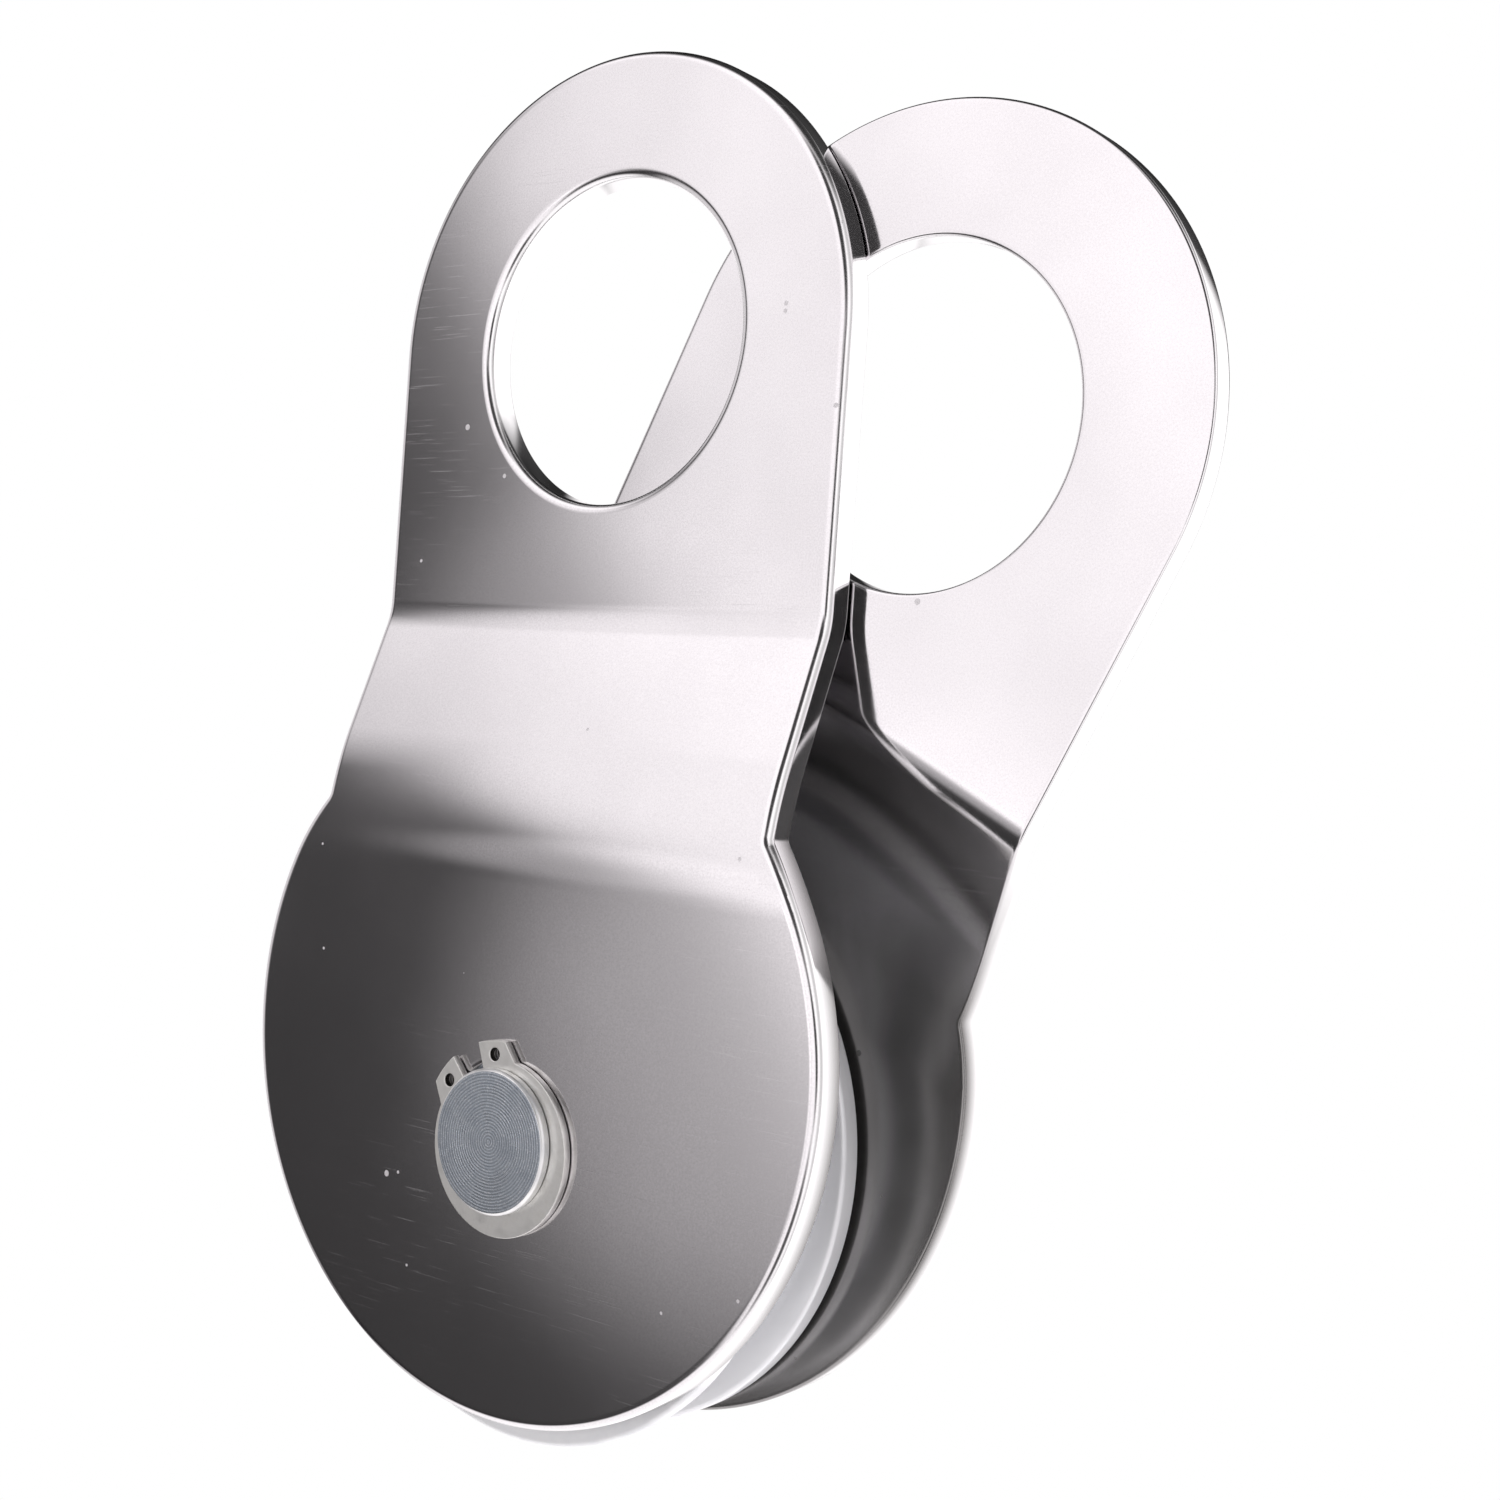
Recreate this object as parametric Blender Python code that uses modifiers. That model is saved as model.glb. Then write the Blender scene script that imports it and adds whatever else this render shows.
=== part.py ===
"""Swing-cheek snatch block: one grooved sheave on a floating axle between two joggled cheek plates.

Metres, +Z up. The origin is the centre of the shackle eye, on the parting plane where the two eyes
meet. The axle lies along Y, below the origin, and the front of the block faces -Y. The rear cheek is
swung open about the axle, as it is when a rope is laid over the sheave.
"""

import math

import bmesh
import bpy
from mathutils import Matrix

MM = 0.001

# Cheek plates
EYE_TO_AXLE = 123.5 * MM
EYE_HOLE_RADIUS = 25.4 * MM
EYE_END_RADIUS = 45.0 * MM  # also half the width of the neck
LOBE_RADIUS = 57.0 * MM
LOBE_RISE = 14.25 * MM  # from the axle up to the lobe's centre
CORNER_RADIUS = 2.0 * MM  # where the neck runs into the lobe
PLATE = 5.0 * MM
PLATE_EDGE_ROUND = 1.4 * MM
PARTING_GAP = 0.5 * MM  # between the two eyes
JOGGLE = 11.5 * MM
LOWER_BEND = 50.0 * MM  # heights above the axle where the tangents of each bend meet
UPPER_BEND = 80.0 * MM
LOWER_BEND_RADIUS = 60.0 * MM
UPPER_BEND_RADIUS = 10.0 * MM
BEND_CUTS = 5
OPEN_ANGLE = math.radians(26.15)

# Axle line
AXLE_RADIUS = 11.0 * MM
AXLE_CHAMFER = 0.4 * MM
GROOVE_FLOOR_RADIUS = 10.4 * MM
GROOVE_WIDTH = 1.5 * MM
GROOVE_TO_END = 1.5 * MM
RUNNING_GAP = 0.2 * MM
CIRCLIP_THICKNESS = 1.2 * MM
CIRCLIP_INNER_RADIUS = 10.55 * MM
CIRCLIP_OUTER_RADIUS = 13.4 * MM
CIRCLIP_ECCENTRICITY = 1.2 * MM
CIRCLIP_LUG_RADIUS = 15.1 * MM
CIRCLIP_HOLE_RADIUS = 1.0 * MM
CIRCLIP_HOLE_CIRCLE = 12.97 * MM
CIRCLIP_GAP_DIRECTION = math.radians(120.3)
LUG_START = math.radians(11.0)  # these four are measured from the middle of the gap
LUG_HOLE = math.radians(23.9)
LUG_CORNER = math.radians(32.5)
LUG_FOOT = math.radians(43.0)

# Sheave
SHEAVE_RADIUS = 46.7 * MM
RIM_HALF_WIDTH = 10.6 * MM
RIM_DEPTH = 14.5 * MM
HUB_RADIUS = 20.5 * MM
HUB_HALF_WIDTH = 9.95 * MM
WEB_HALF_WIDTH = 5.5 * MM
WEB_SLOPE = 1.5 * MM
ROPE_GROOVE_RADIUS = 5.6 * MM
ROPE_GROOVE_CENTRE = 39.6 * MM
ROPE_GROOVE_FLARE = math.radians(10.0)
EDGE_BREAK = 0.6 * MM
BUSH_OUTER_RADIUS = 14.0 * MM
BUSH_INNER_RADIUS = 11.15 * MM
BUSH_FIT = 0.1 * MM
BUSH_HALF_LENGTH = 9.75 * MM
BUSH_CHAMFER = 0.4 * MM

# Thrust washers
WASHER_THICKNESS = 1.4 * MM
WASHER_OUTER_RADIUS = 20.0 * MM
WASHER_CHAMFER = 0.2 * MM

# Worked out from the above
CHEEK_INNER_FACE = JOGGLE + PARTING_GAP / 2
CHEEK_OUTER_FACE = CHEEK_INNER_FACE + PLATE
CHEEK_MIDDLE = (CHEEK_INNER_FACE + CHEEK_OUTER_FACE) / 2
AXLE_HOLE_RADIUS = AXLE_RADIUS + RUNNING_GAP
CIRCLIP_INNER_FACE = CHEEK_OUTER_FACE + RUNNING_GAP
CIRCLIP_SIDE_GAP = (GROOVE_WIDTH - CIRCLIP_THICKNESS) / 2
GROOVE_INNER_WALL = CIRCLIP_INNER_FACE - CIRCLIP_SIDE_GAP
AXLE_HALF_LENGTH = GROOVE_INNER_WALL + GROOVE_WIDTH + GROOVE_TO_END

# Facets
LOBE_STEPS = 56
EYE_STEPS = 32
CORNER_STEPS = 2
EYE_HOLE_STEPS = 48
AXLE_HOLE_STEPS = 48
TURNING_STEPS = 48
ROPE_GROOVE_STEPS = 5
CIRCLIP_STEPS = 36
LUG_STEPS = 3
LUG_HOLE_STEPS = 10
WELD = 0.01 * MM
SMOOTH_ANGLE = math.radians(35)

MATERIALS = {
    "chrome_plate": ((0.80, 0.80, 0.82), 0.08),
    "turned_steel": ((0.50, 0.54, 0.58), 0.35),
    "spring_steel": ((0.70, 0.70, 0.68), 0.28),
    "sheave_steel": ((0.62, 0.63, 0.66), 0.25),
    "bearing_bronze": ((0.72, 0.50, 0.27), 0.40),
    "washer_steel": ((0.42, 0.42, 0.43), 0.40),
}


def clear_scene():
    for obj in list(bpy.data.objects):
        bpy.data.objects.remove(obj, do_unlink=True)


def make_material(name):
    colour, roughness = MATERIALS[name]
    made = bpy.data.materials.new(name)
    made.use_nodes = True
    shader = made.node_tree.nodes["Principled BSDF"]
    shader.inputs["Base Color"].default_value = (*colour, 1.0)
    shader.inputs["Roughness"].default_value = roughness
    shader.inputs["Metallic"].default_value = 1.0
    return made


def arc(centre, radius, start, end, steps):
    """Points from angle start to angle end, both ends included."""
    angles = [start + (end - start) * i / steps for i in range(steps + 1)]
    return [(centre[0] + radius * math.cos(a), centre[1] + radius * math.sin(a)) for a in angles]


def circle(centre, radius, steps):
    return arc(centre, radius, 0.0, 2 * math.pi, steps)[:-1]


# ---------------------------------------------------------------- flat shapes


def flat_shape(name, outline, holes, thickness, edge_round):
    """A filled 2D curve with its edges rounded, lying in XY with its thickness along Z."""
    data = bpy.data.curves.new(name, "CURVE")
    data.dimensions = "2D"
    data.fill_mode = "BOTH"
    data.extrude = thickness / 2 - edge_round
    data.bevel_depth = edge_round
    data.bevel_resolution = 1
    data.offset = -edge_round
    for points in [outline, *holes]:
        spline = data.splines.new("POLY")
        spline.points.add(len(points) - 1)
        for point, (x, y) in zip(spline.points, points):
            point.co = (x, y, 0.0, 1.0)
        spline.use_cyclic_u = True
    return bpy.data.objects.new(name, data)


def curve_to_mesh(obj, name):
    """The curve's evaluated mesh with its caps welded on, stood up so that its top faces -Y."""
    bpy.context.scene.collection.objects.link(obj)
    graph = bpy.context.evaluated_depsgraph_get()
    mesh = bpy.data.meshes.new_from_object(obj.evaluated_get(graph))
    mesh.name = name
    bpy.data.objects.remove(obj, do_unlink=True)
    shape = bmesh.new()
    shape.from_mesh(mesh)
    bmesh.ops.remove_doubles(shape, verts=shape.verts, dist=WELD)
    bmesh.ops.rotate(shape, verts=shape.verts, matrix=Matrix.Rotation(math.pi / 2, 3, "X"))
    bmesh.ops.recalc_face_normals(shape, faces=shape.faces)
    shape.to_mesh(mesh)
    shape.free()
    mesh.materials.clear()
    return mesh


# --------------------------------------------------------------- cheek plates


def cheek_outline():
    """Round the plate clockwise, as (across, above the axle)."""
    lobe = (0.0, LOBE_RISE)
    corner_x = EYE_END_RADIUS + CORNER_RADIUS
    corner_rise = math.sqrt((LOBE_RADIUS + CORNER_RADIUS) ** 2 - corner_x**2)
    tangent = math.atan2(corner_rise, corner_x)
    right = (corner_x, LOBE_RISE + corner_rise)
    left = (-corner_x, right[1])
    return (
        arc(lobe, LOBE_RADIUS, tangent, -math.pi - tangent, LOBE_STEPS)
        + arc(left, CORNER_RADIUS, -tangent, 0.0, CORNER_STEPS)[1:]
        + arc((0.0, EYE_TO_AXLE), EYE_END_RADIUS, math.pi, 0.0, EYE_STEPS)
        + arc(right, CORNER_RADIUS, math.pi, math.pi + tangent, CORNER_STEPS)[:-1]
    )


JOGGLE_ANGLE = math.atan2(JOGGLE, UPPER_BEND - LOWER_BEND)


def bend_start_end(bend):
    """Heights where a bend starts and ends."""
    if bend == LOWER_BEND:
        tangent = LOWER_BEND_RADIUS * math.tan(JOGGLE_ANGLE / 2)
        return bend - tangent, bend + tangent * math.cos(JOGGLE_ANGLE)
    tangent = UPPER_BEND_RADIUS * math.tan(JOGGLE_ANGLE / 2)
    return bend - tangent * math.cos(JOGGLE_ANGLE), bend + tangent


def joggle_at(height):
    """How far the press has pushed the plate inwards at a height above the axle."""
    low_start, low_end = bend_start_end(LOWER_BEND)
    up_start, up_end = bend_start_end(UPPER_BEND)
    if height <= low_start:
        return 0.0
    if height <= low_end:
        return LOWER_BEND_RADIUS - math.sqrt(LOWER_BEND_RADIUS**2 - (height - low_start) ** 2)
    if height < up_start:
        return (height - LOWER_BEND) * math.tan(JOGGLE_ANGLE)
    if height < up_end:
        rise = math.sqrt(UPPER_BEND_RADIUS**2 - (up_end - height) ** 2)
        return JOGGLE - UPPER_BEND_RADIUS + rise
    return JOGGLE


def cheek_mesh():
    """A cheek plate about the axle's centre, its outer face towards -Y.

    The flat blank is cut across where each bend will be, then pressed to its joggle.
    """
    holes = [
        circle((0.0, EYE_TO_AXLE), EYE_HOLE_RADIUS, EYE_HOLE_STEPS),
        circle((0.0, 0.0), AXLE_HOLE_RADIUS, AXLE_HOLE_STEPS),
    ]
    flat = flat_shape("cheek", cheek_outline(), holes, PLATE, PLATE_EDGE_ROUND)
    mesh = curve_to_mesh(flat, "cheek")
    shape = bmesh.new()
    shape.from_mesh(mesh)
    for bend in (LOWER_BEND, UPPER_BEND):
        start, end = bend_start_end(bend)
        for i in range(BEND_CUTS + 1):
            height = start + (end - start) * i / BEND_CUTS
            everything = shape.verts[:] + shape.edges[:] + shape.faces[:]
            bmesh.ops.bisect_plane(
                shape, geom=everything, plane_co=(0, 0, height), plane_no=(0, 0, 1), dist=WELD
            )
    for vert in shape.verts:
        vert.co.y += joggle_at(vert.co.z) - CHEEK_MIDDLE
    shape.to_mesh(mesh)
    shape.free()
    return mesh


# ---------------------------------------------------------------- turned parts


def turned(name, profile, closed):
    """An object turned about its own Z from (radius, height) points that run down its outer side."""
    mesh = bpy.data.meshes.new(name)
    shape = bmesh.new()
    points = [shape.verts.new((radius, 0.0, height)) for radius, height in profile]
    for first, second in zip(points, points[1:] + points[:1] if closed else points[1:]):
        shape.edges.new((first, second))
    shape.to_mesh(mesh)
    shape.free()
    obj = bpy.data.objects.new(name, mesh)
    screw = obj.modifiers.new("Turn", "SCREW")
    screw.axis = "Z"
    screw.angle = 2 * math.pi
    screw.steps = TURNING_STEPS
    screw.render_steps = TURNING_STEPS
    screw.use_merge_vertices = True
    screw.merge_threshold = WELD
    screw.use_smooth_shade = True
    obj.rotation_euler.x = math.pi / 2
    return obj


def mirrored(profile):
    """The front half of a profile, then the same points for its rear half in reverse."""
    return profile + [(radius, -height) for radius, height in reversed(profile)]


def axle_profile():
    inner_wall, outer_wall = GROOVE_INNER_WALL, GROOVE_INNER_WALL + GROOVE_WIDTH
    return mirrored([
        (0.0, AXLE_HALF_LENGTH),
        (AXLE_RADIUS - AXLE_CHAMFER, AXLE_HALF_LENGTH),
        (AXLE_RADIUS, AXLE_HALF_LENGTH - AXLE_CHAMFER),
        (AXLE_RADIUS, outer_wall),
        (GROOVE_FLOOR_RADIUS, outer_wall),
        (GROOVE_FLOOR_RADIUS, inner_wall),
        (AXLE_RADIUS, inner_wall),
    ])


def rope_groove_half():
    """From the lip of the rope groove to just short of its floor."""
    start = math.pi / 2 + ROPE_GROOVE_FLARE
    centre = (ROPE_GROOVE_CENTRE, 0.0)
    floor = arc(centre, ROPE_GROOVE_RADIUS, start, math.pi, ROPE_GROOVE_STEPS)[:-1]
    lip_radius = SHEAVE_RADIUS - EDGE_BREAK
    lip_height = floor[0][1] + (lip_radius - floor[0][0]) * math.tan(ROPE_GROOVE_FLARE)
    return [(SHEAVE_RADIUS, lip_height + EDGE_BREAK), (lip_radius, lip_height), *floor]


def sheave_profile():
    bore = BUSH_OUTER_RADIUS + BUSH_FIT
    rim_inner = SHEAVE_RADIUS - RIM_DEPTH
    front = [
        (bore, HUB_HALF_WIDTH - EDGE_BREAK),
        (bore + EDGE_BREAK, HUB_HALF_WIDTH),
        (HUB_RADIUS, HUB_HALF_WIDTH),
        (HUB_RADIUS + WEB_SLOPE, WEB_HALF_WIDTH),
        (rim_inner - WEB_SLOPE, WEB_HALF_WIDTH),
        (rim_inner, RIM_HALF_WIDTH),
        (SHEAVE_RADIUS - EDGE_BREAK, RIM_HALF_WIDTH),
        (SHEAVE_RADIUS, RIM_HALF_WIDTH - EDGE_BREAK),
        *rope_groove_half(),
    ]
    floor = [(ROPE_GROOVE_CENTRE - ROPE_GROOVE_RADIUS, 0.0)]
    return front + floor + [(radius, -height) for radius, height in reversed(front)]


def sleeve_profile(inner, outer, half_length, chamfer):
    """A plain sleeve or washer with its four edges broken."""
    return mirrored([
        (inner, half_length - chamfer),
        (inner + chamfer, half_length),
        (outer - chamfer, half_length),
        (outer, half_length - chamfer),
    ])


# -------------------------------------------------------------------- circlips


def circlip_outline():
    """The ring and its two lugs, with the gap between the lugs towards +X."""
    ring = []
    for i in range(CIRCLIP_STEPS + 1):
        angle = LUG_FOOT + (2 * math.pi - 2 * LUG_FOOT) * i / CIRCLIP_STEPS
        across = CIRCLIP_ECCENTRICITY * math.sin(angle)
        along = -CIRCLIP_ECCENTRICITY * math.cos(angle)
        radius = along + math.sqrt(CIRCLIP_OUTER_RADIUS**2 - across**2)
        ring.append((radius * math.cos(angle), radius * math.sin(angle)))
    centre = (0.0, 0.0)
    first_lug = arc(centre, CIRCLIP_LUG_RADIUS, LUG_START, LUG_CORNER, LUG_STEPS)
    last_lug = arc(centre, CIRCLIP_LUG_RADIUS, -LUG_CORNER, -LUG_START, LUG_STEPS)
    inside = arc(centre, CIRCLIP_INNER_RADIUS, 2 * math.pi - LUG_START, LUG_START, CIRCLIP_STEPS)
    return first_lug + ring + last_lug + inside


def circlip_mesh():
    """A circlip about the axle's centre line, its gap turned to its direction in the plate."""
    holes = []
    for angle in (LUG_HOLE, -LUG_HOLE):
        centre = (CIRCLIP_HOLE_CIRCLE * math.cos(angle), CIRCLIP_HOLE_CIRCLE * math.sin(angle))
        holes.append(circle(centre, CIRCLIP_HOLE_RADIUS, LUG_HOLE_STEPS))
    flat = flat_shape("circlip", circlip_outline(), holes, CIRCLIP_THICKNESS, 0.0)
    mesh = curve_to_mesh(flat, "circlip")
    mesh.transform(Matrix.Rotation(-CIRCLIP_GAP_DIRECTION, 4, "Y"))
    return mesh


# -------------------------------------------------------------------- assembly


def shade(obj):
    """Smooth round faces, keeping real edges sharp."""
    obj.data.shade_smooth()
    obj.data.set_sharp_from_angle(angle=SMOOTH_ANGLE)


def empty(name, collection, parent=None):
    made = bpy.data.objects.new(name, None)
    made.parent = parent
    collection.objects.link(made)
    return made


def place(obj, collection, parent, material, depth=0.0):
    """Puts a piece on the axle line, so far behind the parting plane."""
    obj.parent = parent
    obj.location.y = depth
    obj.data.materials.append(material)
    collection.objects.link(obj)


def build():
    clear_scene()
    parts = bpy.data.collections.new("snatch_block")
    bpy.context.scene.collection.children.link(parts)
    finish = {name: make_material(name) for name in MATERIALS}

    axle_line = empty("axle_line", parts)
    axle_line.location.z = -EYE_TO_AXLE
    rear_swing = empty("rear_swing", parts, axle_line)
    rear_swing.rotation_euler.y = OPEN_ANGLE

    front_cheek = bpy.data.objects.new("front_cheek_plate", cheek_mesh())
    place(front_cheek, parts, axle_line, finish["chrome_plate"])
    rear_cheek = bpy.data.objects.new("rear_cheek_plate", cheek_mesh())
    place(rear_cheek, parts, rear_swing, finish["chrome_plate"])
    rear_cheek.rotation_euler.z = math.pi
    for cheek in (front_cheek, rear_cheek):
        shade(cheek)

    place(turned("axle_pin", axle_profile(), closed=False), parts, axle_line, finish["turned_steel"])
    place(turned("sheave", sheave_profile(), closed=True), parts, axle_line, finish["sheave_steel"])
    bush = sleeve_profile(BUSH_INNER_RADIUS, BUSH_OUTER_RADIUS, BUSH_HALF_LENGTH, BUSH_CHAMFER)
    place(turned("sheave_bush", bush, closed=True), parts, axle_line, finish["bearing_bronze"])

    washer = sleeve_profile(
        AXLE_HOLE_RADIUS, WASHER_OUTER_RADIUS, WASHER_THICKNESS / 2, WASHER_CHAMFER
    )
    washer_depth = HUB_HALF_WIDTH + RUNNING_GAP + WASHER_THICKNESS / 2
    circlip_depth = CIRCLIP_INNER_FACE + CIRCLIP_THICKNESS / 2
    for side, sign in (("front", -1.0), ("rear", 1.0)):
        ring = turned(f"{side}_thrust_washer", washer, closed=True)
        place(ring, parts, axle_line, finish["washer_steel"], sign * washer_depth)
        circlip = bpy.data.objects.new(f"{side}_circlip", circlip_mesh())
        place(circlip, parts, axle_line, finish["spring_steel"], sign * circlip_depth)
        shade(circlip)


build()
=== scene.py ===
"""Finished surfaces of a swing-cheek snatch block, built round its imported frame.

Metres, +Z up. The origin is the centre of the shackle eye, the axle lies along Y below it, and the
front of the block faces -Y. Every piece here stands for one node of the frame and rides on its body.
"""

from __future__ import annotations

import logging
import math
from dataclasses import dataclass
from enum import Enum
from typing import Callable, Iterable, Sequence, Union

import bmesh
import bpy
from bmesh.types import BMEdge, BMesh, BMFace, BMVert
from mathutils import Matrix, Vector


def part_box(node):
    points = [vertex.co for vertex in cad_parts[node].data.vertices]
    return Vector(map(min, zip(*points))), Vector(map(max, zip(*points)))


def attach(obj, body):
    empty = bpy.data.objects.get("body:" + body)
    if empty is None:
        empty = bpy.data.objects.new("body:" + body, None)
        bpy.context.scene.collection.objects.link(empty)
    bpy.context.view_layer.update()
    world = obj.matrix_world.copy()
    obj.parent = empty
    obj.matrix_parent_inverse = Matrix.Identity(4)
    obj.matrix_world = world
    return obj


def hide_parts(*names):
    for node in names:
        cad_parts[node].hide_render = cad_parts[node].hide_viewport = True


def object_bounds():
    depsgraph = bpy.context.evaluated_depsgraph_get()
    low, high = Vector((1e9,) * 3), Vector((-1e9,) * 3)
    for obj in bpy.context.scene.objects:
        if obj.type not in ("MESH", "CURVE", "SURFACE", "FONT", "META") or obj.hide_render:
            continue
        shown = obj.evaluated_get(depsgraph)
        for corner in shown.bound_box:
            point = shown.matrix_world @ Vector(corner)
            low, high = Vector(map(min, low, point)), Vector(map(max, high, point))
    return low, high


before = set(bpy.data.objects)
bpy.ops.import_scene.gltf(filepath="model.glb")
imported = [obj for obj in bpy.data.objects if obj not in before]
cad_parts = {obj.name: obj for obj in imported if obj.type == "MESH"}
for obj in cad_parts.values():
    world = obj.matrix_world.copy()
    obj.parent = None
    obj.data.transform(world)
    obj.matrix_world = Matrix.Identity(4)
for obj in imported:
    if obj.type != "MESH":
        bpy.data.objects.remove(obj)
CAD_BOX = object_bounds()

LOG = logging.getLogger("snatch_block")

Socket = bpy.types.NodeSocket
Value = Union[Socket, float, Sequence[float]]
Colour = tuple[float, float, float, float]

MM = 0.001
WELD = 1e-7
NEAR = 0.05 * MM
SHARP = math.radians(20.0)
QUARTER_TURN = math.pi / 2
FULL_TURN = 2 * math.pi
AXLE_LINE = Vector((0.0, 1.0, 0.0))
FACING = Vector((0.0, -1.0, 0.0))  # turning about this is anticlockwise, seen from the front


class Side(Enum):
    """Which side of the parting plane a piece is on."""

    FRONT = -1
    REAR = 1

    @property
    def label(self) -> str:
        """The side's name as the frame's nodes spell it."""
        return self.name.lower()


class Fade(Enum):
    """How a value goes from one end of its range to the other."""

    EVEN = "LINEAR"
    SOFT = "SMOOTHERSTEP"


def middle_of(node: str) -> Vector:
    """The middle of a frame node's box."""
    low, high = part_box(node)
    return (low + high) / 2


def size_of(node: str) -> Vector:
    """The lengths of a frame node's box along X, Y and Z."""
    low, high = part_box(node)
    return high - low


AXLE = middle_of("axle_pin")


def radius_of(point: Vector) -> float:
    """How far a point is from the axle's line."""
    return math.hypot(point.x - AXLE.x, point.z - AXLE.z)


# Modelling


class Pen:
    """Draws a line in a mesh with straight strokes and arcs."""

    def __init__(self, mesh: BMesh, start: Vector, axis: Vector) -> None:
        """Puts the pen down.

        Args:
            mesh: the mesh that is drawn in.
            start: where the line starts.
            axis: what the arcs turn about.
        """
        self.mesh = mesh
        self.axis = axis
        self.first: BMVert = mesh.verts.new(start)
        self.last: BMVert = self.first

    def line(self, end: Vector) -> None:
        """Draws a straight stroke.

        Args:
            end: where the stroke ends.
        """
        grown = bmesh.ops.extrude_vert_indiv(self.mesh, verts=[self.last])
        tip = grown["verts"][0]
        bmesh.ops.translate(self.mesh, verts=[tip], vec=end - tip.co)
        self.last = tip

    def arc(self, centre: Vector, angle: float, steps: int) -> None:
        """Draws an arc.

        Args:
            centre: the arc's centre.
            angle: how far it turns, in radians.
            steps: how many chords it has.
        """
        swept = bmesh.ops.spin(
            self.mesh, geom=[self.last], cent=centre, axis=self.axis, angle=angle, steps=steps
        )
        self.last = next(item for item in swept["geom_last"] if isinstance(item, BMVert))

    def close(self) -> None:
        """Joins the line's end to its start."""
        if (self.last.co - self.first.co).length > WELD:
            self.mesh.edges.new((self.last, self.first))


def weld(mesh: BMesh) -> None:
    """Merges doubled points and turns every face outwards."""
    bmesh.ops.remove_doubles(mesh, verts=mesh.verts[:], dist=WELD)
    bmesh.ops.recalc_face_normals(mesh, faces=mesh.faces[:])


def spin_round(mesh: BMesh, centre: Vector, axis: Vector, steps: int) -> None:
    """Spins a drawn profile once round a line, into a closed surface.

    Args:
        mesh: holds nothing but the profile.
        centre: a point of the line.
        axis: the line's direction.
        steps: how many facets go round.
    """
    bmesh.ops.spin(
        mesh,
        geom=mesh.verts[:] + mesh.edges[:],
        cent=centre,
        axis=axis,
        angle=FULL_TURN,
        steps=steps,
        use_merge=True,
    )
    weld(mesh)


def round_edges(mesh: BMesh, edges: Iterable[BMEdge], radius: float, segments: int) -> None:
    """Rounds edges.

    Args:
        mesh: the mesh that the edges are in.
        edges: the edges.
        radius: how far the rounding reaches to each side.
        segments: how many strips it has.
    """
    bmesh.ops.bevel(
        mesh,
        geom=list(edges),
        offset=radius,
        offset_type="OFFSET",
        segments=segments,
        profile=0.5,
        affect="EDGES",
        clamp_overlap=False,
        material=-1,
    )


def hard_edges(mesh: BMesh, near: Callable[[float], bool]) -> list[BMEdge]:
    """The sharp round edges of a turned piece.

    Args:
        mesh: the piece.
        near: says of a radius whether an edge there is wanted.

    Returns:
        The edges.
    """
    wanted = []
    for edge in mesh.edges:
        if len(edge.link_faces) == 2 and edge.calc_face_angle() > SHARP:
            if near(radius_of(edge.verts[0].co)):
                wanted.append(edge)
    return wanted


def note_edges(mesh: BMesh) -> None:
    """Writes on every point how far its faces turn away from the plate's flat, for a painted highlight and
    rougher roundings.

    Args:
        mesh: the plate.
    """
    turn_layer = mesh.verts.layers.float.new("edge_turn")
    for vert in mesh.verts:
        flattest = min((abs(face.normal.y) for face in vert.link_faces), default=1.0)
        vert[turn_layer] = 1.0 - flattest


def finished(
    mesh: BMesh, name: str, materials: Iterable[bpy.types.Material], smooth_below: float = 40.0
) -> bpy.types.Object:
    """Makes a mesh an object that stands at the origin.

    Args:
        mesh: the mesh, which is freed.
        name: the object's name.
        materials: its materials, in the order of the slots that its faces name.
        smooth_below: edges flatter than this many degrees are shaded smooth.

    Returns:
        The object, in the scene.
    """
    data = bpy.data.meshes.new(name)
    mesh.to_mesh(data)
    mesh.free()
    data.shade_smooth()
    data.set_sharp_from_angle(angle=math.radians(smooth_below))
    for material in materials:
        data.materials.append(material)
    made = bpy.data.objects.new(name, data)
    bpy.context.scene.collection.objects.link(made)
    return made


def fit(made: bpy.types.Object, body: str, node: str) -> bpy.types.Object:
    """Lets a piece stand for a node and ride on its body.

    Args:
        made: the piece.
        body: the frame's body that it moves with.
        node: the frame's node that it stands for.

    Returns:
        The piece.
    """
    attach(made, body)
    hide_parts(node)
    return made


# Node graphs


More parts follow.
